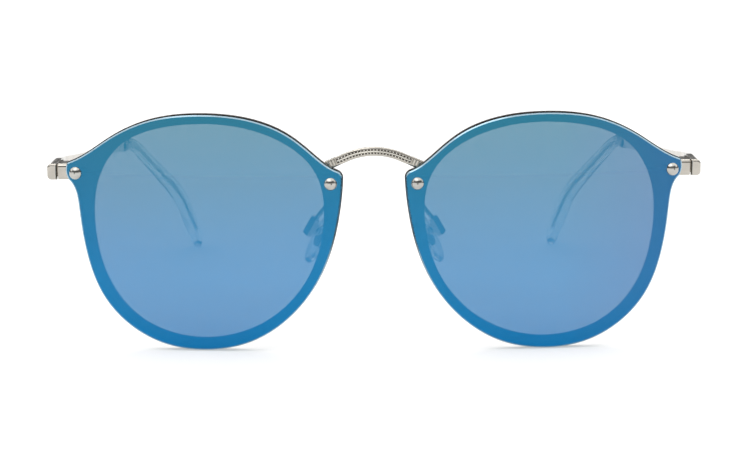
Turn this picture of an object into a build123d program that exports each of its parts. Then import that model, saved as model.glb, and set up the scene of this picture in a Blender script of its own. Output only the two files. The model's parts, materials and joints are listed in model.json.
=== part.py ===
"""Round sunglasses with flat-mounted mirrored lenses, a wire bridge and folding temples.

Frame: +Z up, +X to the wearer's left, the lenses face -Y. The glasses stand on the lower
edges of the rims and on the tips of the open temples, with the origin on the floor under
the middle of the whole object. Sizes are in millimetres.

Every paired piece is modelled on the +X side and mirrored about the YZ plane.
"""
from build123d import *
import os

# ---- whole object -----------------------------------------------------------------------
FRONT_Y = -66.2          # foremost point of the lenses
HALF_WIDTH = 71.05       # outer face of a temple at its hinge

# ---- lens and rim shell -----------------------------------------------------------------
LENS_X = 36.5            # middle of a lens
LENS_Z = 26.0
SHELL_X = 22.0           # centre of the sphere that both surfaces of a lens follow
SHELL_RADIUS = 175.0
LENS_THICKNESS = 1.8
RIM_THICKNESS = 1.2
LENS_GAP = 0.06          # the lens stands off the rim by this much
RIM_PROUD = 0.15         # the rim shows this much outside the lens
LENS_BEVEL = 0.3
SHELL_DEPTH = 14.0       # more than the whole depth of a curved lens

# rim outline on the +X side as (x, z): the bowl from the temporal lug round to the nasal
# lug, and the brow back over the top
TEMPORAL_LUG_TOP = (66.35, 40.85)
TEMPORAL_LUG_SIDE = (66.62, 39.0)
TEMPORAL_LUG_BOTTOM = (65.95, 37.2)
BOWL = (
    (64.7, 35.35), (64.05, 32.6), (63.6, 28.6), (62.25, 20.6), (58.95, 11.85), (52.75, 4.95),
    (44.85, 1.0), (36.3, 0.017), (27.1, 1.75), (19.2, 6.55), (13.3, 13.3), (9.4, 21.5),
    (7.4, 29.8), (6.75, 35.0),
)
NASAL_LUG = (6.55, 38.9)
BROW = (
    (9.9, 40.45), (13.6, 43.5), (18.6, 47.3), (26.8, 50.5), (37.2, 51.55), (48.2, 50.25),
    (57.2, 46.2), (62.4, 42.75),
)
NASAL_LUG_ROUND = 1.7
TEMPORAL_LUG_ROUND = 0.5

# opening of the rim
OPENING = (
    (34.9, 49.3), (46.2, 48.35), (54.9, 44.4), (59.6, 36.8), (60.4, 27.0), (57.75, 15.8),
    (51.3, 7.1), (41.6, 2.9), (30.6, 3.3), (20.5, 8.5), (13.6, 17.5), (10.9, 28.0),
    (12.4, 38.4), (19.2, 45.1),
)

# ---- lens screws ------------------------------------------------------------------------
OUTER_SCREW = (64.4, 38.65)
INNER_SCREW = (9.3, 36.6)
SCREW_HEAD_RADIUS = 1.35
SCREW_HEAD_RISE = 0.7
SCREW_RADIUS = 0.6
BUSH_RADIUS = 0.9
BUSH_FLANGE_RADIUS = 1.25
BUSH_FLANGE = 0.15
BUSH_GAP = 0.05          # bush to lens, and screw to bush
NUT_RADIUS = 1.25
NUT_HEIGHT = 0.9
STACK = LENS_THICKNESS + LENS_GAP + RIM_THICKNESS
INNER_SCREW_LENGTH = STACK + NUT_HEIGHT + 0.15
OUTER_SCREW_LENGTH = STACK + 1.7

# ---- bridge -----------------------------------------------------------------------------
BRIDGE_HALF_SPAN = 10.7
BRIDGE_END = (3.8, 39.95)      # depth behind the front, height
BRIDGE_PEAK = (1.9, 44.8)      # corner of the path over the nose, before rounding
BRIDGE_ROUND = 13.0
BRIDGE_HEIGHT = 1.95
BRIDGE_DEPTH = 1.9
BRIDGE_CORNER = 0.45
BRIDGE_END_ROUND = 0.4
GROOVE_HALF_SPAN = 7.9         # the groove on the front face carries the milgrain
GROOVE_HEIGHT = 1.05
GROOVE_DEPTH = 0.22

# ---- end piece and hinge ----------------------------------------------------------------
HINGE_Z = 38.4
BLOCK_HEIGHT = 3.5
END_PIECE_IN = 61.9
END_PIECE_OUT = 68.62
END_PIECE_FRONT = 9.45         # depths are measured back from the front of the lenses
END_PIECE_BACK = 11.8
FOOT_OUT = 66.0
BLOCK_IN = 62.9                # inner side of the block behind the foot
BLOCK_ROUND = 0.8              # front corners of the block
HINGE_X = 67.2
HINGE_DEPTH = 13.6
BARREL_RADIUS = 1.25
MIDDLE_BARREL = 1.0
BARREL_GAP = 0.06
HINGE_PIN_RADIUS = 0.5
HINGE_BORE_RADIUS = 0.55
PIN_HEAD_RADIUS = 0.85
PIN_HEAD_HEIGHT = 0.4
PIN_HEAD_GAP = 0.04
DRIVER_SLOT = 0.22
HINGE_BASE = (65.3, 68.2)      # x from, x to
SLOT_RELIEF = 0.15             # the slot is wider than the middle barrel by this radius
LEAF_THICKNESS = 0.4
LEAF_LENGTH = 7.0
LEAF_HEIGHT = 2.7
LEAF_LEAD = 1.5                # the leaf starts this far in front of the pin
TONGUE_LENGTH = 2.2            # joins the middle barrel to the leaf

# ---- temple -----------------------------------------------------------------------------
BUTT_THICKNESS = 2.12
BUTT_ROUND = 0.5               # front end of the butt
TEMPLE_X = HALF_WIDTH - BUTT_THICKNESS / 2
TEMPLE_ROUTE = (               # x, depth, z
    (TEMPLE_X, END_PIECE_FRONT, HINGE_Z),
    (TEMPLE_X, 23.0, HINGE_Z),
    (61.9, 98.5, 32.9),
    (51.9, 117.5, 17.0),
    (47.7, 131.6, 0.88),
)
TEMPLE_ROUNDS = (50.0, 15.0, 40.0)
OUTER_ROUND = 0.42             # corner radii as shares of the thickness
INNER_ROUND = 0.16
SHAFT = (1.4, 2.2)             # thickness, height
CORE_RADIUS = 0.55             # wire inside the clear tip
CORE_GAP = 0.05
SLEEVE_START = 0.565           # fractions of the temple's length
CORE_END = 0.95

# tip sections: fraction of the temple's length, thickness, height
TIP_SECTIONS = (
    (SLEEVE_START, 2.1, 2.9), (0.60, 2.3, 3.1), (0.66, 2.4, 3.2), (0.72, 2.6, 3.4),
    (0.78, 2.9, 3.9), (0.85, 3.2, 4.7), (0.92, 3.3, 5.3), (0.97, 2.9, 4.9), (1.0, 1.4, 2.6),
)
TIP_STEPS = 14

# ---- nose pads --------------------------------------------------------------------------
PAD_PIVOT = (12.55, 11.4, 25.1)          # x, depth, z
PAD_ALONG = Vector(0.5, 0.0, -0.866)     # down the pad
PAD_OUT = Vector(-0.785, 0.42, -0.4532)  # out of the pad, towards the nose
PAD_LENGTH = 13.4
PAD_WIDTH = 6.8
PAD_THICKNESS = 2.0
PAD_BACK = 1.2                           # pad's back, measured from the pivot
PAD_DROP = 0.9                           # middle of the pad below the pivot
PAD_EDGE = 0.7
BOX_LENGTH = 4.2
BOX_WIDTH = 2.6
BOX_PLATE = 1.0
BOX_DEPTH = 2.1                          # outer face of the plate behind the pivot
CHEEK = 0.45
CHEEK_REACH = 0.55
CHEEK_HALF_LENGTH = 1.0
LUG_THICKNESS = 1.5
LUG_RADIUS = 0.75
PAD_PIN_RADIUS = 0.35
PAD_BORE_RADIUS = 0.4
PAD_PIN_HEAD = (0.6, 0.35)               # radius, height
INSERT_PLATE = (5.2, 3.2, 0.5)
INSERT_START = 1.7                       # insert plate's back, from the pivot
ARM_RADIUS = 0.48
ARM_ROUTE = ((9.5, 3.0, 31.3), (9.3, 9.9, 31.8), (11.3, 11.0, 29.3))
ARM_ROUNDS = (1.9, 1.5)


def at(x, depth, z):
    """Point at a depth behind the foremost point of the lenses."""
    return Vector(x, FRONT_Y + depth, z)


def write(name, piece):
    """Label one finished piece and write its STEP file."""
    piece.label = name
    export_step(piece, f"parts/{name}.step")


def write_pair(name, built):
    """Write the +X piece as the left one and its mirror image as the right one."""
    write(f"{name}_left", built.part)
    with BuildPart() as mirrored:
        mirror(built.part, about=Plane.YZ)
    write(f"{name}_right", mirrored.part)


def grown(point, amount):
    """Move an outline point away from the middle of the lens."""
    middle = Vector(LENS_X, LENS_Z)
    arm = Vector(*point) - middle
    return middle + arm * (1 + amount / arm.length)


def shell_prism(grow):
    """Prism through the rim outline, grown or shrunk a little, over the whole shell depth."""
    with BuildPart() as prism:
        with BuildSketch(Plane.XZ.offset(-(FRONT_Y + SHELL_DEPTH))) as face:
            with BuildLine():
                bowl = [grown(p, grow) for p in (TEMPORAL_LUG_BOTTOM,) + BOWL + (NASAL_LUG,)]
                brow = [grown(p, grow) for p in (NASAL_LUG,) + BROW + (TEMPORAL_LUG_TOP,)]
                Spline(*bowl)
                Spline(*brow)
                ThreePointArc(brow[-1], grown(TEMPORAL_LUG_SIDE, grow), bowl[0])
            make_face()
            corners = face.vertices().sort_by(Axis.X)
            fillet(corners[0], NASAL_LUG_ROUND)
            fillet(face.vertices().sort_by(Axis.X)[-2:], TEMPORAL_LUG_ROUND)
        extrude(amount=SHELL_DEPTH + 1)
    return prism.part


def screw_plane(spot):
    """Plane on a lens's front surface, with its normal out of the lens."""
    x, z = spot
    centre = at(SHELL_X, SHELL_RADIUS, LENS_Z)
    across = Vector(x - centre.X, 0, z - centre.Z)
    drop = (SHELL_RADIUS ** 2 - across.length ** 2) ** 0.5
    surface = centre + across - Vector(0, drop, 0)
    return Plane(origin=surface, x_dir=(0, 0, 1), z_dir=surface - centre)


OUTER_PLANE = screw_plane(OUTER_SCREW)
INNER_PLANE = screw_plane(INNER_SCREW)
SHELL_CENTRE = at(SHELL_X, SHELL_RADIUS, LENS_Z)
LENS_BACK_RADIUS = SHELL_RADIUS - LENS_THICKNESS
RIM_FRONT_RADIUS = LENS_BACK_RADIUS - LENS_GAP
RIM_BACK_RADIUS = RIM_FRONT_RADIUS - RIM_THICKNESS
BASE = (Align.CENTER, Align.CENTER, Align.MIN)
TOP = (Align.CENTER, Align.CENTER, Align.MAX)

# ---- lens: a curved plate with a polished bevel -----------------------------------------
with BuildPart() as lens:
    add(shell_prism(-RIM_PROUD))
    with Locations(SHELL_CENTRE):
        Sphere(SHELL_RADIUS, mode=Mode.INTERSECT)
    chamfer(lens.faces().sort_by(Axis.Y)[0].edges(), LENS_BEVEL)
    with Locations(SHELL_CENTRE):
        Sphere(LENS_BACK_RADIUS, mode=Mode.SUBTRACT)
    with Locations(OUTER_PLANE, INNER_PLANE):
        Cylinder(BUSH_RADIUS + BUSH_GAP, SHELL_DEPTH, mode=Mode.SUBTRACT)
write_pair("lens", lens)

# ---- rim: a thin open plate behind the lens ---------------------------------------------
with BuildPart() as rim:
    add(shell_prism(0))
    with Locations(SHELL_CENTRE):
        Sphere(RIM_FRONT_RADIUS, mode=Mode.INTERSECT)
        Sphere(RIM_BACK_RADIUS, mode=Mode.SUBTRACT)
    with BuildSketch(Plane.XZ.offset(-(FRONT_Y + SHELL_DEPTH))):
        with BuildLine():
            Spline(*OPENING, periodic=True)
        make_face()
    extrude(amount=SHELL_DEPTH, mode=Mode.SUBTRACT)
    with Locations(OUTER_PLANE, INNER_PLANE):
        Cylinder(SCREW_RADIUS, SHELL_DEPTH, mode=Mode.SUBTRACT)
write_pair("rim", rim)

# ---- lens bushes: top-hat sleeves that keep the screws off the lens ----------------------
FLANGE_SEAT = 0.006      # a flat flange clears the curved lens by this much
with BuildPart() as bushes_left:
    for plane in (OUTER_PLANE, INNER_PLANE):
        with Locations(plane.offset(FLANGE_SEAT)):
            Cylinder(BUSH_FLANGE_RADIUS, BUSH_FLANGE, align=BASE)
        with Locations(plane.offset(FLANGE_SEAT)):
            Cylinder(BUSH_RADIUS, LENS_THICKNESS, align=TOP)
        with Locations(plane):
            Cylinder(SCREW_RADIUS + BUSH_GAP, SHELL_DEPTH, mode=Mode.SUBTRACT)
with BuildPart() as lens_bushes:
    add(bushes_left.part)
    mirror(bushes_left.part, about=Plane.YZ)
write("lens_bushes", lens_bushes.part)


def lens_screw(plane, length):
    """Domed screw, seated on its bush."""
    seat = plane.offset(FLANGE_SEAT + BUSH_FLANGE)
    dome_radius = (SCREW_HEAD_RADIUS ** 2 + SCREW_HEAD_RISE ** 2) / (2 * SCREW_HEAD_RISE)
    with BuildPart() as screw:
        with Locations(seat.offset(SCREW_HEAD_RISE - dome_radius)):
            Sphere(dome_radius)
        split(bisect_by=seat, keep=Keep.TOP)
        with Locations(seat):
            Cylinder(SCREW_RADIUS, length + BUSH_FLANGE, align=TOP)
    return screw.part


with BuildPart() as screws_left:
    add(lens_screw(OUTER_PLANE, OUTER_SCREW_LENGTH))
    add(lens_screw(INNER_PLANE, INNER_SCREW_LENGTH))
with BuildPart() as lens_screws:
    add(screws_left.part)
    mirror(screws_left.part, about=Plane.YZ)
write("lens_screws", lens_screws.part)

# ---- lens nuts: behind the nasal end of each rim -----------------------------------------
with BuildPart() as nut_left:
    with BuildSketch(INNER_PLANE.offset(-(STACK + FLANGE_SEAT))):
        RegularPolygon(NUT_RADIUS, 6)
        Circle(SCREW_RADIUS, mode=Mode.SUBTRACT)
    extrude(amount=-NUT_HEIGHT)
with BuildPart() as lens_nuts:
    add(nut_left.part)
    mirror(nut_left.part, about=Plane.YZ)
write("lens_nuts", lens_nuts.part)

# ---- bridge: a bent bar with a groove along its front face -------------------------------
def bridge_line(half_span):
    """Corner points of the bridge's path out to a half span."""
    end_depth, end_z = BRIDGE_END
    peak_depth, peak_z = BRIDGE_PEAK
    share = half_span / BRIDGE_HALF_SPAN
    depth = peak_depth + (end_depth - peak_depth) * share
    height = peak_z + (end_z - peak_z) * share
    return at(-half_span, depth, height), at(0, peak_depth, peak_z), at(half_span, depth, height)


def bridge_plane(line):
    """Plane across the start of a bridge path, with local x to the front."""
    heading = line % 0
    return Plane(origin=line @ 0, x_dir=heading.cross(Vector(0, 0, 1)), z_dir=heading)


with BuildPart() as bridge:
    with BuildLine() as bar_path:
        FilletPolyline(*bridge_line(BRIDGE_HALF_SPAN), radius=BRIDGE_ROUND)
    with BuildSketch(bridge_plane(bar_path.line)):
        RectangleRounded(BRIDGE_DEPTH, BRIDGE_HEIGHT, BRIDGE_CORNER)
    sweep(path=bar_path.line)
    for end in (0, -1):
        fillet(bridge.faces().sort_by(Axis.X)[end].edges(), BRIDGE_END_ROUND)
    with BuildLine() as groove_path:
        FilletPolyline(*bridge_line(GROOVE_HALF_SPAN), radius=BRIDGE_ROUND)
    with BuildSketch(bridge_plane(groove_path.line)):
        with Locations((BRIDGE_DEPTH / 2, 0)):
            Rectangle(2 * GROOVE_DEPTH, GROOVE_HEIGHT)
    sweep(path=groove_path.line, mode=Mode.SUBTRACT)
    for plate in (rim.part, lens.part):
        add(plate, mode=Mode.SUBTRACT)
        mirror(plate, about=Plane.YZ, mode=Mode.SUBTRACT)
write("bridge", bridge.part)

# ---- end piece: block soldered behind the rim, with a foot that fills the curve ----------
BLOCK_BOTTOM = Plane.XY.offset(HINGE_Z - BLOCK_HEIGHT / 2)
with BuildPart() as end_piece:
    with BuildSketch(BLOCK_BOTTOM):
        with Locations(at(END_PIECE_IN, 0, 0)):
            Rectangle(FOOT_OUT - END_PIECE_IN, END_PIECE_BACK, align=(Align.MIN, Align.MIN))
    extrude(amount=BLOCK_HEIGHT)
    with Locations(SHELL_CENTRE):
        Sphere(RIM_BACK_RADIUS, mode=Mode.INTERSECT)
    block_depth = END_PIECE_BACK - END_PIECE_FRONT
    with BuildSketch(Plane.YZ.offset(BLOCK_IN)):
        with Locations((FRONT_Y + END_PIECE_FRONT + block_depth / 2, HINGE_Z)):
            section = Rectangle(block_depth, BLOCK_HEIGHT)
            fillet(section.vertices().group_by(Axis.X)[0], BLOCK_ROUND)
    extrude(amount=END_PIECE_OUT - BLOCK_IN)
    with Locations(OUTER_PLANE):
        Cylinder(SCREW_RADIUS, OUTER_SCREW_LENGTH, align=TOP, mode=Mode.SUBTRACT)
write_pair("end_piece", end_piece)

# ---- front half of the hinge: two barrels on a base --------------------------------------
HINGE_CENTRE = at(HINGE_X, HINGE_DEPTH, HINGE_Z)
HINGE_TOP = Plane(origin=at(HINGE_X, HINGE_DEPTH, HINGE_Z + BLOCK_HEIGHT / 2), z_dir=(0, 0, 1))
SLOT_HEIGHT = MIDDLE_BARREL + 2 * BARREL_GAP
base_in, base_out = HINGE_BASE
with BuildPart() as hinge_front:
    with BuildSketch(BLOCK_BOTTOM):
        with Locations(HINGE_CENTRE):
            Circle(BARREL_RADIUS)
        with Locations(at(base_in, END_PIECE_BACK, 0)):
            Rectangle(
                base_out - base_in,
                HINGE_DEPTH - END_PIECE_BACK,
                align=(Align.MIN, Align.MIN),
            )
    extrude(amount=BLOCK_HEIGHT)
    with Locations(HINGE_CENTRE):
        Cylinder(BARREL_RADIUS + SLOT_RELIEF, SLOT_HEIGHT, mode=Mode.SUBTRACT)
        Cylinder(HINGE_PIN_RADIUS, 2 * BLOCK_HEIGHT, mode=Mode.SUBTRACT)
    with Locations(HINGE_TOP):
        Cylinder(
            PIN_HEAD_RADIUS + PIN_HEAD_GAP, PIN_HEAD_HEIGHT, align=TOP, mode=Mode.SUBTRACT
        )
write_pair("hinge_front", hinge_front)

# ---- hinge screw -------------------------------------------------------------------------
with BuildPart() as hinge_screw:
    with Locations(HINGE_TOP):
        Cylinder(PIN_HEAD_RADIUS, PIN_HEAD_HEIGHT, align=TOP)
        Cylinder(HINGE_PIN_RADIUS, BLOCK_HEIGHT, align=TOP)
        Box(2 * PIN_HEAD_RADIUS, DRIVER_SLOT, DRIVER_SLOT, align=TOP, mode=Mode.SUBTRACT)
write_pair("hinge_screw", hinge_screw)

# ---- temple: one bar from the butt to the end of the core wire ---------------------------
with BuildLine() as temple_path:
    FilletPolyline(*[at(*point) for point in TEMPLE_ROUTE], radius=TEMPLE_ROUNDS)
PATH = temple_path.line


def station(fraction):
    """Plane across the temple at a fraction of its length, with local x outwards."""
    heading = PATH % fraction
    outwards = heading.cross(Vector(0, 0, 1))
    return Plane(origin=PATH @ fraction, x_dir=outwards, z_dir=heading)


BAR_SECTIONS = (               # fraction of the temple's length, thickness, height
    (0.0, BUTT_THICKNESS, BLOCK_HEIGHT), (0.07, BUTT_THICKNESS, BLOCK_HEIGHT),
    (0.085, 2.0, 3.25), (0.10, 1.9, 3.05), (0.115, 1.8, 2.9), (0.20, 1.5, 2.35),
    (0.28, *SHAFT), (SLEEVE_START, *SHAFT),
)


def core_rod(radius, end):
    """Round rod along the temple's route, from the start of the sleeve to a fraction."""
    with BuildPart() as rod:
        with BuildLine() as core_path:
            FilletPolyline(
                PATH @ SLEEVE_START,
                at(*TEMPLE_ROUTE[2]),
                at(*TEMPLE_ROUTE[3]),
                PATH @ end,
                radius=TEMPLE_ROUNDS[1:],
            )
        with BuildSketch(station(SLEEVE_START)):
            Circle(radius)
        sweep(path=core_path.line)
    return rod.part


with BuildPart() as temple:
    for fraction, thickness, height in BAR_SECTIONS:
        with BuildSketch(station(fraction)):
            section = Rectangle(thickness, height)
            fillet(section.vertices().group_by(Axis.X)[-1], OUTER_ROUND * thickness)
            fillet(section.vertices().group_by(Axis.X)[0], INNER_ROUND * thickness)
    loft(ruled=True)
    fillet(temple.faces().sort_by(Axis.Y)[0].edges(), BUTT_ROUND)
    add(core_rod(CORE_RADIUS, CORE_END))
write_pair("temple", temple)

# ---- temple half of the hinge: one barrel on a leaf --------------------------------------
LEAF_OUT = HALF_WIDTH - BUTT_THICKNESS
with BuildPart() as hinge_temple:
    with BuildSketch(Plane.XY.offset(HINGE_Z - MIDDLE_BARREL / 2)):
        with Locations(HINGE_CENTRE):
            Circle(BARREL_RADIUS)
        with Locations(at(HINGE_X, HINGE_DEPTH, 0)):
            Rectangle(LEAF_OUT - HINGE_X, TONGUE_LENGTH, align=(Align.MIN, Align.CENTER))
    extrude(amount=MIDDLE_BARREL)
    with Locations(at(LEAF_OUT, HINGE_DEPTH - LEAF_LEAD, HINGE_Z)):
        Box(LEAF_THICKNESS, LEAF_LENGTH, LEAF_HEIGHT, align=(Align.MAX, Align.MIN, Align.CENTER))
    with Locations(HINGE_CENTRE):
        Cylinder(HINGE_BORE_RADIUS, BLOCK_HEIGHT, mode=Mode.SUBTRACT)
    add(temple.part, mode=Mode.SUBTRACT)
write_pair("hinge_temple", hinge_temple)

# ---- temple tip: clear sleeve that widens to a paddle ------------------------------------
def tip_size(fraction):
    """Thickness and height of the tip at a fraction of the temple's length."""
    near, far = next(
        pair for pair in zip(TIP_SECTIONS, TIP_SECTIONS[1:]) if fraction <= pair[1][0]
    )
    share = (fraction - near[0]) / (far[0] - near[0])
    return (a + (b - a) * share for a, b in zip(near[1:], far[1:]))


with BuildPart() as temple_tip:
    for step in range(TIP_STEPS + 1):
        fraction = SLEEVE_START + (1.0 - SLEEVE_START) * step / TIP_STEPS
        thickness, height = tip_size(fraction)
        with BuildSketch(station(fraction)):
            Ellipse(thickness / 2, height / 2)
    loft()
    add(core_rod(CORE_RADIUS + CORE_GAP, CORE_END + 0.005), mode=Mode.SUBTRACT)
write_pair("temple_tip", temple_tip)

# ---- nose pad parts, in the pad's own directions -----------------------------------------
PIVOT = at(*PAD_PIVOT)
PAD_PLANE = Plane(origin=PIVOT, x_dir=PAD_ALONG, z_dir=PAD_OUT)
PAD_ACROSS = PAD_PLANE.y_dir
PIN_PLANE = Plane(origin=PIVOT, x_dir=PAD_ALONG, z_dir=PAD_ACROSS)

# ---- pad box: a plate with two cheeks ----------------------------------------------------
CHEEK_ROOT = BOX_DEPTH - BOX_PLATE / 2
with BuildPart() as pad_box:
    with BuildSketch(PAD_PLANE.offset(-BOX_DEPTH)):
        RectangleRounded(BOX_LENGTH, BOX_WIDTH, 0.3)
    extrude(amount=BOX_PLATE)
    for foot in (-BOX_WIDTH / 2, BOX_WIDTH / 2 - CHEEK):
        with BuildSketch(PIN_PLANE.offset(foot)) as cheek:
            with Locations((0, (CHEEK_ROOT - CHEEK_REACH) / 2)):
                Rectangle(2 * CHEEK_HALF_LENGTH, CHEEK_ROOT + CHEEK_REACH)
            fillet(cheek.vertices().group_by(Axis.Y)[0], CHEEK_REACH)
        extrude(amount=CHEEK)
    with Locations(PIN_PLANE):
        Cylinder(PAD_PIN_RADIUS, 2 * BOX_WIDTH, mode=Mode.SUBTRACT)
write_pair("pad_box", pad_box)

# ---- pad screw: head towards the front ----------------------------------------------------
head_radius, head_height = PAD_PIN_HEAD
with BuildPart() as pad_screw:
    with Locations(PIN_PLANE.offset(BOX_WIDTH / 2)):
        Cylinder(head_radius, head_height, align=BASE)
        Cylinder(PAD_PIN_RADIUS, BOX_WIDTH, align=TOP)
    with Locations(PIN_PLANE.offset(BOX_WIDTH / 2 + head_height)):
        Box(2 * head_radius, DRIVER_SLOT, DRIVER_SLOT, align=TOP, mode=Mode.SUBTRACT)
write_pair("pad_screw", pad_screw)

# ---- pad insert: a lug on a plate, moulded into the pad -----------------------------------
insert_length, insert_width, insert_height = INSERT_PLATE
with BuildPart() as pad_insert:
    with BuildSketch(PIN_PLANE.offset(-LUG_THICKNESS / 2)):
        Circle(LUG_RADIUS)
        with Locations((0, -INSERT_START / 2)):
            Rectangle(2 * LUG_RADIUS, INSERT_START)
    extrude(amount=LUG_THICKNESS)
    with BuildSketch(PAD_PLANE.offset(INSERT_START)):
        with Locations((PAD_DROP, 0)):
            RectangleRounded(insert_length, insert_width, 0.45 * insert_width)
    extrude(amount=insert_height)
    with Locations(PIN_PLANE):
        Cylinder(PAD_BORE_RADIUS, 2 * BOX_WIDTH, mode=Mode.SUBTRACT)
write_pair("pad_insert", pad_insert)

# ---- nose pad -----------------------------------------------------------------------------
with BuildPart() as nose_pad:
    with BuildSketch(PAD_PLANE.offset(PAD_BACK)):
        with Locations((PAD_DROP, 0)):
            Ellipse(PAD_LENGTH / 2, PAD_WIDTH / 2)
    extrude(amount=PAD_THICKNESS)
    fillet(nose_pad.edges().filter_by(GeomType.ELLIPSE), PAD_EDGE)
    add(pad_insert.part, mode=Mode.SUBTRACT)
write_pair("nose_pad", nose_pad)

# ---- pad arm: wire from the back of the rim to the top end of the box ---------------------
ARM_END = PIVOT - PAD_OUT * (BOX_DEPTH - BOX_PLATE / 2) - PAD_ALONG * (BOX_LENGTH / 2 - 0.3)
with BuildPart() as pad_arm:
    with BuildLine() as arm_path:
        FilletPolyline(*[at(*point) for point in ARM_ROUTE], ARM_END, radius=ARM_ROUNDS)
    with BuildSketch(Plane(origin=arm_path.line @ 0, z_dir=arm_path.line % 0)):
        Circle(ARM_RADIUS)
    sweep(path=arm_path.line)
    add(rim.part, mode=Mode.SUBTRACT)
    add(pad_box.part, mode=Mode.SUBTRACT)
write_pair("pad_arm", pad_arm)
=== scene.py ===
"""Looks of the round mirrored sunglasses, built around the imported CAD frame.

Lengths are in metres. The CAD nodes stay where they are and get their materials here.
The nose pads are replaced by soft crowned ones, and the bridge gets its milgrain, the dark
film behind it and its carved collars.
"""
import json
import math
import bmesh
import bpy
from mathutils import Matrix, Vector


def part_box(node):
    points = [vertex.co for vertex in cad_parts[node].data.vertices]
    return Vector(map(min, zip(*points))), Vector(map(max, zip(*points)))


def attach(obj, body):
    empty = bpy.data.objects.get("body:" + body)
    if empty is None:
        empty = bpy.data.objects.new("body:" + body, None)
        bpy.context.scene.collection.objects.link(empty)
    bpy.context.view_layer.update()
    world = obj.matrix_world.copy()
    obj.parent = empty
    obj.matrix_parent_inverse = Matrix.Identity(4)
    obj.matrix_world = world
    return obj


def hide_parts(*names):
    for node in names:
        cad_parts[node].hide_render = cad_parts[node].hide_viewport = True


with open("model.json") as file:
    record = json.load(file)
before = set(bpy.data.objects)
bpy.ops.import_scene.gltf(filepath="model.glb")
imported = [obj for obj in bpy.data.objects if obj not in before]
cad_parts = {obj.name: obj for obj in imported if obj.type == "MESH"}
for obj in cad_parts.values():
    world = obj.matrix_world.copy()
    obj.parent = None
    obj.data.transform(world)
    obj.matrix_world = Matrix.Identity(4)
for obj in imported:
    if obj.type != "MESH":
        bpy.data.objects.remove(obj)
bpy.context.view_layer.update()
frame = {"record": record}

MM = 0.001
SIDES = ("left", "right")
RECORD = frame["record"]
JOINTS = {joint["name"]: joint for joint in RECORD["behaviour"]["joints"]}
MOUNTS = {mount["name"]: mount for mount in RECORD["mounts"]}
LENS_LOW, LENS_HIGH = (Vector(corner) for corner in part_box("lens_left"))
FRONT = LENS_LOW.y
SHELL_SIDE = 22.0 * MM           # the sphere that both surfaces of a lens follow
SHELL_HEIGHT = 26.0 * MM
SHELL_RADIUS = 175.0 * MM
LENS_THICKNESS = 1.8 * MM
LENS_GAP = 0.06 * MM             # between the lens and the rim
RIM_THICKNESS = 1.2 * MM
scene = bpy.context.scene


# ---- camera, at the photograph's viewing angle -------------------------------------------
CAMERA_DISTANCE = 0.480
CAMERA_HEIGHT = 0.1092
CAMERA_SIDE = 0.00015
CAMERA_PITCH = 9.62              # degrees below the horizontal
CAMERA_ROLL = -0.40
CAMERA_LENS = 109.25             # focal length and sensor in millimetres
CAMERA_SENSOR = 36.0
CAMERA_CLIP = (0.01, 20.0)


def make_camera():
    """Camera in front of the glasses, a little above them and looking slightly down."""
    data = bpy.data.cameras.new("view_camera")
    data.sensor_width = CAMERA_SENSOR
    data.lens = CAMERA_LENS
    data.clip_start, data.clip_end = CAMERA_CLIP
    camera = bpy.data.objects.new("view_camera", data)
    scene.collection.objects.link(camera)
    pitch = Matrix.Rotation(math.radians(90.0 - CAMERA_PITCH), 4, "X")
    roll = Matrix.Rotation(math.radians(CAMERA_ROLL), 4, "Z")
    place = Matrix.Translation((CAMERA_SIDE, FRONT - CAMERA_DISTANCE, CAMERA_HEIGHT))
    camera.matrix_world = place @ pitch @ roll
    scene.camera = camera


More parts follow.
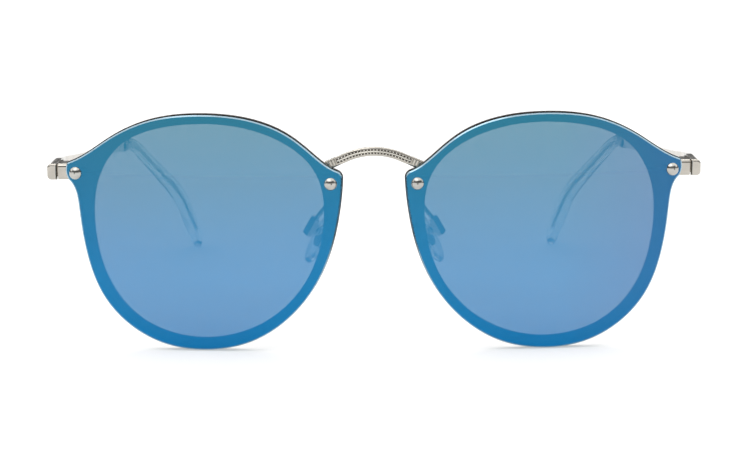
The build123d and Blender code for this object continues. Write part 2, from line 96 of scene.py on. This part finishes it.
# ---- node helpers -------------------------------------------------------------------------
class Nodes:
    """The node tree of a material or a world, with short calls to add and link nodes."""

    def __init__(self, owner, output_kind="ShaderNodeOutputMaterial"):
        self.owner = owner
        owner.use_nodes = True
        self.tree = owner.node_tree
        self.tree.nodes.clear()
        self.output = self.add(output_kind)

    def add(self, kind, **values):
        """New node; a value is a setting of the node or, failing that, one of its inputs."""
        node = self.tree.nodes.new(kind)
        for key, value in values.items():
            if hasattr(node, key):
                setattr(node, key, value)
            else:
                node.inputs[key.replace("_", " ")].default_value = value
        return node

    def link(self, source, target):
        self.tree.links.new(source, target)

    def noise(self, scale, detail=3.0, stretch=(1, 1, 1)):
        """Noise over the object's own coordinates; scale is in features per metre."""
        place = self.add("ShaderNodeTexCoord")
        mapping = self.add("ShaderNodeMapping")
        mapping.inputs["Scale"].default_value = stretch
        texture = self.add("ShaderNodeTexNoise", Scale=scale, Detail=detail)
        self.link(place.outputs["Object"], mapping.inputs["Vector"])
        self.link(mapping.outputs["Vector"], texture.inputs["Vector"])
        return texture.outputs["Fac"]

    def ramp(self, factor, stops):
        """Colour ramp; stops are (position, (r, g, b))."""
        node = self.add("ShaderNodeValToRGB")
        elements = node.color_ramp.elements
        while len(elements) < len(stops):
            elements.new(0.5)
        for element, (position, colour) in zip(elements, stops):
            element.position = position
            element.color = (*colour, 1.0)
        self.link(factor, node.inputs["Fac"])
        return node.outputs["Color"]

    def span(self, factor, low, high, out_low, out_high):
        """Map a value from one span to another, clamped."""
        node = self.add("ShaderNodeMapRange")
        for key, value in zip(("From Min", "From Max", "To Min", "To Max"),
                              (low, high, out_low, out_high)):
            node.inputs[key].default_value = value
        self.link(factor, node.inputs["Value"])
        return node.outputs["Result"]

    def blend(self, factor, first, second):
        """Blend two shaders; the factor is a number or a socket."""
        node = self.add("ShaderNodeMixShader")
        if isinstance(factor, float):
            node.inputs["Fac"].default_value = factor
        else:
            self.link(factor, node.inputs["Fac"])
        self.link(first, node.inputs[1])
        self.link(second, node.inputs[2])
        return node.outputs[0]

    def tone(self, factor, first, second):
        """Blend two colours, each a socket or a tuple."""
        node = self.add("ShaderNodeMix", data_type="RGBA")
        self.link(factor, node.inputs["Factor"])
        for socket, colour in ((node.inputs[6], first), (node.inputs[7], second)):
            if isinstance(colour, tuple):
                socket.default_value = (*colour, 1.0)
            else:
                self.link(colour, socket)
        return node.outputs[2]

    def shell_distance(self, side):
        """Distance from the centre of the sphere that a lens and its rim follow."""
        place = self.add("ShaderNodeTexCoord")
        node = self.add("ShaderNodeVectorMath", operation="DISTANCE")
        self.link(place.outputs["Object"], node.inputs[0])
        node.inputs[1].default_value = (side * SHELL_SIDE, FRONT + SHELL_RADIUS, SHELL_HEIGHT)
        return node.outputs["Value"]

    def bump(self, height, strength, distance):
        """Surface normal from a height, with the bump's depth in metres."""
        node = self.add("ShaderNodeBump", Strength=strength, Distance=distance)
        self.link(height, node.inputs["Height"])
        return node.outputs["Normal"]

    def finish(self, surface):
        """Join a shader to the output and give back the material or world."""
        self.link(surface, self.output.inputs["Surface"])
        return self.owner


def material_nodes(name):
    """Empty node tree of a new material."""
    return Nodes(bpy.data.materials.new(name))


def grey(stops):
    """Ramp stops from pairs of position and brightness."""
    return [(position, (level, level, level)) for position, level in stops]


# ---- materials ----------------------------------------------------------------------------
COAT_BOTTOM = (0.017, 0.290, 0.660)
COAT_MIDDLE = (0.024, 0.255, 0.530)
COAT_TOP = (0.038, 0.244, 0.370)
COAT_VIOLET = (0.062, 0.175, 0.430)
COAT_STOPS = ((0.0, COAT_BOTTOM), (0.45, COAT_MIDDLE), (1.0, COAT_TOP))
COAT_DRIFT = 0.24                # share of the height by which noise shifts the colours
COAT_SPAN = (0.12, 1.12)
VIOLET_START = 40.0 * MM         # from the middle of the glasses
VIOLET_END = 66.0 * MM
EDGE_GLOSS = (0.42, 0.58, 0.68, 1.0)
EDGE_TINT = (0.55, 0.66, 0.72, 1.0)
BACK_GLOSS = (0.25, 0.26, 0.28, 1.0)
BACK_TINT = (0.355, 0.355, 0.355, 1.0)
CLEAR = (1.0, 1.0, 1.0, 1.0)
FRONT_SKIN = (0.06 * MM, 0.04 * MM)     # depths between which the coat begins
BACK_SKIN = (0.05 * MM, 0.08 * MM)      # heights between which the inner face ends


def part_mirror(n, gloss, roughness, tint, clear_share):
    """Mirror that lets a share of the light through; gloss is a colour or a socket."""
    mirror = n.add("ShaderNodeBsdfGlossy", Roughness=roughness)
    if isinstance(gloss, tuple):
        mirror.inputs["Color"].default_value = gloss
    else:
        n.link(gloss, mirror.inputs["Color"])
    clear = n.add("ShaderNodeBsdfTransparent", Color=tint)
    return n.blend(clear_share, mirror.outputs[0], clear.outputs[0])


def coat_colour(n, side, violet):
    """Greyer blue at the brow, deeper blue at the bottom, more violet at the temple."""
    place = n.add("ShaderNodeTexCoord")
    axes = n.add("ShaderNodeSeparateXYZ")
    n.link(place.outputs["Object"], axes.inputs["Vector"])
    drift = n.add("ShaderNodeMath", operation="MULTIPLY_ADD")
    n.link(n.noise(scale=22.0, detail=2.0), drift.inputs[0])
    drift.inputs[1].default_value = COAT_DRIFT
    n.link(n.span(axes.outputs["Z"], 0.0, LENS_HIGH.z, 0.0, 1.0), drift.inputs[2])
    coat = n.ramp(n.span(drift.outputs[0], *COAT_SPAN, 0.0, 1.0), COAT_STOPS)
    temple_side = n.span(axes.outputs["X"], side * VIOLET_START, side * VIOLET_END, 0.0, violet)
    return n.tone(temple_side, coat, COAT_VIOLET)


def lens_material(name, side, violet):
    """Blue mirror coat on the front of a neutral grey lens.

    The coat turns violet towards the temple by a given share, as a coating of uneven
    thickness does.
    """
    n = material_nodes(name)
    coat = coat_colour(n, side, violet)
    front = part_mirror(n, coat, roughness=0.05, tint=CLEAR, clear_share=0.35)
    edge = part_mirror(n, EDGE_GLOSS, roughness=0.12, tint=EDGE_TINT, clear_share=0.25)
    back = part_mirror(n, BACK_GLOSS, roughness=0.06, tint=BACK_TINT, clear_share=0.90)
    distance = n.shell_distance(side)
    coat_start, coat_end = (SHELL_RADIUS - depth for depth in FRONT_SKIN)
    is_front = n.span(distance, coat_start, coat_end, 0.0, 1.0)
    skin_start, skin_end = (SHELL_RADIUS - LENS_THICKNESS + rise for rise in BACK_SKIN)
    is_back = n.span(distance, skin_start, skin_end, 1.0, 0.0)
    return n.finish(n.blend(is_back, n.blend(is_front, edge, front), back))


CLOUD_SCALE = 450.0              # cloudiness of the plating, in features per metre
CLOUD_DETAIL = 4.0
CLOUD_STOPS = (0.25, 0.70)
HAIRLINE_SCALE = 900.0           # polishing marks
HAIRLINE_DETAIL = 5.0
HAIRLINE_STRETCH = (1.0, 0.08, 1.0)
HAIRLINE_SPAN = (0.3, 0.75)
HAIRLINE_BUMP = (0.12, 0.02 * MM)
RIM_PLATE = ((0.43, 0.40, 0.36), (0.50, 0.47, 0.42))
# painted shade: near-black colour on the rim's face behind the lens, standing in for the shade
# there
RIM_PAINTED_SHADE = ((0.030, 0.027, 0.025), (0.055, 0.050, 0.045))
SHADE_START = 0.7 * RIM_THICKNESS        # behind the rim's front face
SHADE_END = 0.1 * MM


def polish(n, shader, smoothest, roughest):
    """Give a metal its hairline polishing marks, which also vary its roughness."""
    hairline = n.noise(HAIRLINE_SCALE, HAIRLINE_DETAIL, HAIRLINE_STRETCH)
    n.link(n.span(hairline, *HAIRLINE_SPAN, smoothest, roughest), shader.inputs["Roughness"])
    n.link(n.bump(hairline, *HAIRLINE_BUMP), shader.inputs["Normal"])


def rim_material(name, side):
    """Plated rim, darkened by painted shade on its face towards the lens."""
    n = material_nodes(name)
    shader = n.add("ShaderNodeBsdfPrincipled", Metallic=1.0)
    cloud = n.noise(CLOUD_SCALE, CLOUD_DETAIL)
    plate = n.ramp(cloud, list(zip(CLOUD_STOPS, RIM_PLATE)))
    painted_shade = n.ramp(cloud, list(zip(CLOUD_STOPS, RIM_PAINTED_SHADE)))
    # the face behind the lens takes the painted shade colour
    face = SHELL_RADIUS - LENS_THICKNESS - LENS_GAP
    is_shaded_face = n.span(n.shell_distance(side), face - SHADE_START, face - SHADE_END, 0.0, 1.0)
    n.link(n.tone(is_shaded_face, plate, painted_shade), shader.inputs["Base Color"])
    polish(n, shader, smoothest=0.12, roughest=0.25)
    return n.finish(shader.outputs[0])


def metal_material(name, base, roughness):
    """Polished plating: faint cloudiness and hairline polishing marks."""
    n = material_nodes(name)
    shader = n.add("ShaderNodeBsdfPrincipled", Metallic=1.0)
    darker = tuple(0.86 * c for c in base)
    cloud = n.noise(CLOUD_SCALE, CLOUD_DETAIL)
    n.link(n.ramp(cloud, list(zip(CLOUD_STOPS, (darker, base)))), shader.inputs["Base Color"])
    polish(n, shader, 0.7 * roughness, 1.5 * roughness)
    return n.finish(shader.outputs[0])


MOULDED_SPAN = (0.3, 0.7)        # part of the noise that shows on moulded plastic
CLEAR_BUMP = (0.15, 0.1 * MM)
NYLON_BUMP = (0.2, 0.03 * MM)


def clear_material(name, colour, roughness, ior, bump_scale):
    """Clear moulded plastic or silicone with a slightly uneven surface."""
    n = material_nodes(name)
    shader = n.add("ShaderNodeBsdfPrincipled")
    shader.inputs["Transmission Weight"].default_value = 1.0
    shader.inputs["IOR"].default_value = ior
    flow = n.noise(bump_scale, detail=2.0)
    paler = tuple(min(1.0, 1.03 * c) for c in colour)
    n.link(n.ramp(flow, list(zip(MOULDED_SPAN, (colour, paler)))), shader.inputs["Base Color"])
    rough = n.span(flow, *MOULDED_SPAN, 0.8 * roughness, 1.3 * roughness)
    n.link(rough, shader.inputs["Roughness"])
    n.link(n.bump(flow, *CLEAR_BUMP), shader.inputs["Normal"])
    return n.finish(shader.outputs[0])


def plastic_material(name, colour, roughness):
    """Natural moulded nylon with a fine grain."""
    n = material_nodes(name)
    shader = n.add("ShaderNodeBsdfPrincipled")
    grain = n.noise(scale=1500.0, detail=3.0)
    darker = tuple(0.85 * c for c in colour)
    n.link(n.ramp(grain, list(zip(MOULDED_SPAN, (darker, colour)))), shader.inputs["Base Color"])
    rough = n.span(grain, *MOULDED_SPAN, roughness, 1.3 * roughness)
    n.link(rough, shader.inputs["Roughness"])
    n.link(n.bump(grain, *NYLON_BUMP), shader.inputs["Normal"])
    return n.finish(shader.outputs[0])


def make_materials():
    """Every finish by its name here; metals have a base colour and a roughness."""
    return {
        "lens_left": lens_material("mirror_coat_left", 1, violet=0.6),
        "lens_right": lens_material("mirror_coat_right", -1, violet=0.12),
        "rim_left": rim_material("rim_plating_left", 1),
        "rim_right": rim_material("rim_plating_right", -1),
        "metal": metal_material("polished_silver", (0.50, 0.47, 0.42), 0.12),
        # beads and the smooth band between them: the bridge's silver with a brighter base
        # colour, a painted highlight
        "bead": metal_material("beads_painted_highlight", (0.80, 0.77, 0.70), 0.14),
        # dark film laid on the floor of the bridge's groove, much darker than the silver round
        # it
        "groove_film": metal_material("dark_groove_film", (0.075, 0.066, 0.056), 0.35),
        "collar": metal_material("carved_collars", (0.36, 0.33, 0.28), 0.16),
        "screw": metal_material("polished_screw", (0.50, 0.49, 0.46), 0.16),
        "tip": clear_material("clear_tip", (0.84, 0.89, 0.91), 0.03, 1.46, 60.0),
        "pad": clear_material("clear_silicone", (0.70, 0.75, 0.78), 0.10, 1.41, 250.0),
        "nylon": plastic_material("natural_nylon", (0.80, 0.80, 0.77), 0.35),
    }


# ---- carried-over CAD nodes ---------------------------------------------------------------
METAL_NODES = ("end_piece", "hinge_front", "hinge_temple", "temple", "pad_arm", "pad_box")


def dress(node, material):
    """Put one material on a CAD node."""
    for slot in bpy.data.objects[node].material_slots:
        slot.material = material


def dress_nodes(materials):
    """Give each CAD node its finish."""
    for side in SIDES:
        dress(f"lens_{side}", materials[f"lens_{side}"])
        dress(f"rim_{side}", materials[f"rim_{side}"])
        for node in METAL_NODES:
            dress(f"{node}_{side}", materials["metal"])
        for node in ("hinge_screw", "pad_screw"):
            dress(f"{node}_{side}", materials["screw"])
        dress(f"pad_insert_{side}", materials["nylon"])
        dress(f"temple_tip_{side}", materials["tip"])
        dress(f"nose_pad_{side}", materials["pad"])
    dress("bridge", materials["metal"])
    dress("lens_screws", materials["screw"])
    dress("lens_nuts", materials["screw"])
    dress("lens_bushes", materials["nylon"])


# ---- mesh helpers -------------------------------------------------------------------------
def new_piece(name, builder, material, smooth=True):
    """Make an object from a bmesh."""
    mesh = bpy.data.meshes.new(name)
    if smooth:
        for face in builder.faces:
            face.smooth = True
    bmesh.ops.recalc_face_normals(builder, faces=builder.faces)
    builder.to_mesh(mesh)
    builder.free()
    mesh.materials.append(material)
    piece = bpy.data.objects.new(name, mesh)
    scene.collection.objects.link(piece)
    return piece


def skin(builder, rings):
    """Closed body through rings of points, each a closed loop with the same count."""
    loops = [[builder.verts.new(point) for point in ring] for ring in rings]
    for first, second in zip(loops, loops[1:]):
        count = len(first)
        for i in range(count):
            j = (i + 1) % count
            builder.faces.new((first[i], first[j], second[j], second[i]))
    builder.faces.new(list(reversed(loops[0])))
    builder.faces.new(loops[-1])


def rounded_loop(half_width, half_height, power, count):
    """Superellipse loop as (across, up) pairs."""
    loop = []
    for i in range(count):
        angle = 2 * math.pi * i / count
        c, s = math.cos(angle), math.sin(angle)
        across = half_width * math.copysign(abs(c) ** (2 / power), c)
        up = half_height * math.copysign(abs(s) ** (2 / power), s)
        loop.append((across, up))
    return loop


# ---- bridge milgrain and collars ----------------------------------------------------------
BRIDGE_LOW, BRIDGE_HIGH = (Vector(corner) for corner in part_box("bridge"))
BRIDGE_SPAN = 10.7 * MM
BRIDGE_FALL = 4.85 * MM         # ends below the corner of the path
BRIDGE_SETBACK = 1.9 * MM       # ends behind it
BRIDGE_ROUND = 13.0 * MM
BRIDGE_BAR = (1.9 * MM, 1.95 * MM)
GROOVE_SPAN = 7.9 * MM
GROOVE_DEPTH = 0.22 * MM
GROOVE_HEIGHT = 1.05 * MM
BEAD_RADIUS = 0.18 * MM
BEAD_ROW = 0.35 * MM
BEAD_STEP = 0.66 * MM
BEAD_LIFT = 0.55 * BEAD_RADIUS   # its centre above the floor of the groove
BAND_HALF = 0.14 * MM           # smooth band between the two rows of beads
BAND_RISE = 0.16 * MM
FILM_RISE = 0.01 * MM           # dark film on the floor of the groove
RIBBON_STEPS = 32
RIBBON_SHARE = 0.99             # of the groove's length, so that its ends stay inside
BEAD_SHARE = 0.985
FILM_SHARE = 0.97               # of the groove's height


def bridge_frame(x):
    """Point on the bridge's centre line at x, with its heading, front and up directions."""
    limb = Vector((BRIDGE_SPAN, BRIDGE_SETBACK, -BRIDGE_FALL)).normalized()
    sink = Vector((0.0, limb.y, limb.z)).normalized()
    slope = math.acos(limb.x)
    arc_half = BRIDGE_ROUND * math.sin(slope)
    drop = BRIDGE_ROUND * (1.0 / math.cos(slope) - 1.0)
    if abs(x) < arc_half:
        angle = math.asin(abs(x) / BRIDGE_ROUND)
        fall = drop + BRIDGE_ROUND * (1.0 - math.cos(angle))
    else:
        angle = slope
        fall = abs(x) * math.tan(slope)
    sign = 1.0 if x >= 0 else -1.0
    heading = Vector((1.0, 0.0, 0.0)) * math.cos(angle) + sink * (sign * math.sin(angle))
    top = BRIDGE_HIGH.z - BRIDGE_BAR[1] / 2
    apex = Vector((0.0, BRIDGE_LOW.y + BRIDGE_BAR[0] / 2, top)) - sink * drop
    point = apex + sink * fall + Vector((x, 0.0, 0.0))
    front = heading.cross(Vector((0.0, 0.0, 1.0))).normalized()
    up = front.cross(heading).normalized()
    return point, heading, front, up


def ribbon(builder, half_height, rise):
    """Strip along the groove's floor, with a half height and a rise above the floor."""
    floor = BRIDGE_BAR[0] / 2 - GROOVE_DEPTH
    corners = ((floor, -half_height), (floor + rise, -half_height),
               (floor + rise, half_height), (floor, half_height))
    rings = []
    for i in range(-RIBBON_STEPS, RIBBON_STEPS + 1):
        point, _, front, up = bridge_frame(RIBBON_SHARE * GROOVE_SPAN * i / RIBBON_STEPS)
        rings.append([point + front * depth + up * height for depth, height in corners])
    skin(builder, rings)


def make_milgrain(material):
    """Two rows of fine beads in the bridge's groove, either side of a smooth band."""
    builder = bmesh.new()
    count = int(GROOVE_SPAN * BEAD_SHARE / BEAD_STEP)
    lift = BRIDGE_BAR[0] / 2 - GROOVE_DEPTH + BEAD_LIFT
    for row in (-1, 1):
        for i in range(-count, count + 1):
            point, _, front, up = bridge_frame(i * BEAD_STEP)
            centre = point + front * lift + up * (row * BEAD_ROW)
            bmesh.ops.create_uvsphere(
                builder, u_segments=12, v_segments=8, radius=BEAD_RADIUS,
                matrix=Matrix.Translation(centre))
    ribbon(builder, BAND_HALF, BAND_RISE)
    piece = new_piece("bridge_milgrain", builder, material)
    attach(piece, "front")


def make_groove_film(material):
    """Dark film on the floor of the groove, which sets off the beads."""
    builder = bmesh.new()
    ribbon(builder, FILM_SHARE * GROOVE_HEIGHT / 2, FILM_RISE)
    piece = new_piece("bridge_groove_film", builder, material, smooth=False)
    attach(piece, "front")


COLLAR_STATIONS = tuple(distance * MM for distance in (8.15, 8.75, 9.35, 9.9))
COLLAR_PROUD = 0.07 * MM
COLLAR_WIDTH = 0.30 * MM
# across one ring: share of its half width, and rise as a share of how proud it stands
COLLAR_PROFILE = ((-1.0, -0.10), (-0.7, 0.55), (0.0, 1.0), (0.7, 0.55), (1.0, -0.10))
COLLAR_POWER = 4.0              # nearly square, as the bridge is
COLLAR_POINTS = 48


def make_collars(material):
    """Carved rings round both ends of the bridge."""
    builder = bmesh.new()
    for sign in (-1, 1):
        for station in COLLAR_STATIONS:
            point, heading, front, up = bridge_frame(sign * station)
            rings = []
            for along, rise in COLLAR_PROFILE:
                half_width = BRIDGE_BAR[0] / 2 + rise * COLLAR_PROUD
                half_height = BRIDGE_BAR[1] / 2 + rise * COLLAR_PROUD
                centre = point + heading * (along * COLLAR_WIDTH / 2)
                loop = rounded_loop(half_width, half_height, COLLAR_POWER, COLLAR_POINTS)
                rings.append([centre + front * a + up * u for a, u in loop])
            skin(builder, rings)
    piece = new_piece("bridge_collars", builder, material)
    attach(piece, "front")


# ---- nose pads ----------------------------------------------------------------------------
PAD_HALF_LENGTH = 6.7 * MM
PAD_HALF_WIDTH = 3.4 * MM
PAD_THICKNESS = 2.0 * MM
PAD_POWER = 2.15                # nearly an ellipse
PAD_POINTS = 64
# share of the outline, and depth below the outer face's middle as a share of the thickness
PAD_PROFILE = (
    (0.05, 0.0), (0.25, 0.012), (0.45, 0.05), (0.62, 0.11), (0.76, 0.19), (0.87, 0.30),
    (0.95, 0.44), (0.99, 0.58), (1.0, 0.68), (0.985, 0.80), (0.94, 0.90), (0.85, 0.965),
    (0.70, 0.99), (0.45, 1.0), (0.15, 1.0),
)


def make_nose_pad(side, material):
    """Soft pad: a crowned oval, thinner at its edge, round the moulded insert."""
    mount = MOUNTS[f"nose_rest_{side}"]
    joint = JOINTS[f"nose_pad_{side}_rock"]
    out = Vector(mount["axis"]).normalized()
    across = Vector(joint["axis"]).normalized()
    along = across.cross(out).normalized()
    middle = Vector(mount["pos_m"])
    builder = bmesh.new()
    rings = []
    for share, depth in PAD_PROFILE:
        size = (PAD_HALF_LENGTH * share, PAD_HALF_WIDTH * share)
        loop = rounded_loop(*size, PAD_POWER, PAD_POINTS)
        centre = middle - out * (depth * PAD_THICKNESS)
        rings.append([centre + along * a + across * b for a, b in loop])
    skin(builder, rings)
    piece = new_piece(f"nose_pad_soft_{side}", builder, material)
    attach(piece, f"nose_pad_{side}")
    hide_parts(f"nose_pad_{side}")


# ---- floor and light ----------------------------------------------------------------------
FLOOR_GLOW = 0.40               # an evenly lit table, so that shadows stay faint
FLOOR_TONES = ((0.3, 0.67), (0.7, 0.69))
FLOOR_HALF = 6.0
FLOOR_DROP = 0.05 * MM


def make_floor():
    """Plain pale floor just under the glasses."""
    n = material_nodes("white_floor")
    shader = n.add("ShaderNodeBsdfDiffuse")
    grain = n.noise(scale=30.0, detail=2.0)
    n.link(n.ramp(grain, grey(FLOOR_TONES)), shader.inputs["Color"])
    glow = n.add("ShaderNodeEmission", Strength=FLOOR_GLOW)
    both = n.add("ShaderNodeAddShader")
    n.link(shader.outputs[0], both.inputs[0])
    n.link(glow.outputs[0], both.inputs[1])
    builder = bmesh.new()
    bmesh.ops.create_grid(builder, x_segments=2, y_segments=2, size=FLOOR_HALF)
    floor = new_piece("studio_floor", builder, n.finish(both.outputs[0]))
    floor.location.z = -FLOOR_DROP


WORLD_STRENGTH = 1.40
HORIZON_LEVEL = 0.90            # as bright as the lit floor, so no horizon line is reflected
DARK_LEVEL = 0.10
# height as the sine of the elevation, and brightness there
CAMERA_SIDE_LEVELS = (
    (0.0, HORIZON_LEVEL), (0.18, HORIZON_LEVEL), (0.26, DARK_LEVEL), (0.70, DARK_LEVEL),
    (0.78, 1.0),
)
BACK_WALL_LEVELS = (
    (0.0, HORIZON_LEVEL), (0.06, HORIZON_LEVEL), (0.12, DARK_LEVEL), (0.28, DARK_LEVEL),
    (0.36, 1.0),
)
ROOM_TURN = (-0.35, -0.05)      # along Y, from the camera's side to the back wall


def make_world():
    """White room with a dark opening above the camera and a dark strip at the back wall.

    They give the metal its streaks and the clear parts their outlines.
    """
    scene.world = bpy.data.worlds.new("studio")
    n = Nodes(scene.world, "ShaderNodeOutputWorld")
    place = n.add("ShaderNodeTexCoord")
    axes = n.add("ShaderNodeSeparateXYZ")
    n.link(place.outputs["Generated"], axes.inputs["Vector"])
    camera_side = n.ramp(axes.outputs["Z"], grey(CAMERA_SIDE_LEVELS))
    back_wall = n.ramp(axes.outputs["Z"], grey(BACK_WALL_LEVELS))
    behind = n.span(axes.outputs["Y"], *ROOM_TURN, 0.0, 1.0)
    background = n.add("ShaderNodeBackground", Strength=WORLD_STRENGTH)
    n.link(n.tone(behind, camera_side, back_wall), background.inputs["Color"])
    n.finish(background.outputs[0])


KEY_SPREAD = 50.0               # degrees
KEY_STRENGTH = 0.55
KEY_HEADING = Vector((0.35, 0.40, -1.0))
STRIP_SIZE = (0.8, 0.06)
STRIP_POWER = 1.2
STRIP_PLACE = Vector((0.0, 0.55, 0.75))
STRIP_TARGET = Vector((0.0, 0.0, 0.02))


def hang_light(data, heading, place=(0.0, 0.0, 0.0)):
    """Put a light in the scene, shining along its heading."""
    lamp = bpy.data.objects.new(data.name, data)
    lamp.location = place
    lamp.rotation_euler = heading.to_track_quat("-Z", "Y").to_euler()
    scene.collection.objects.link(lamp)


def make_lights():
    """One large soft key light from above, and a strip light behind the glasses."""
    key = bpy.data.lights.new("key_light", "SUN")
    key.angle = math.radians(KEY_SPREAD)
    key.energy = KEY_STRENGTH
    hang_light(key, KEY_HEADING)
    strip = bpy.data.lights.new("strip_light", "AREA")
    strip.shape = "RECTANGLE"
    strip.size, strip.size_y = STRIP_SIZE
    strip.energy = STRIP_POWER
    hang_light(strip, STRIP_TARGET - STRIP_PLACE, STRIP_PLACE)


# ---- the scene ----------------------------------------------------------------------------
make_camera()
materials = make_materials()
dress_nodes(materials)
make_milgrain(materials["bead"])
make_groove_film(materials["groove_film"])
make_collars(materials["collar"])
for side in SIDES:
    make_nose_pad(side, materials["pad"])
make_floor()
make_world()
make_lights()
scene.view_settings.view_transform = "Standard"
scene.view_settings.look = "None"
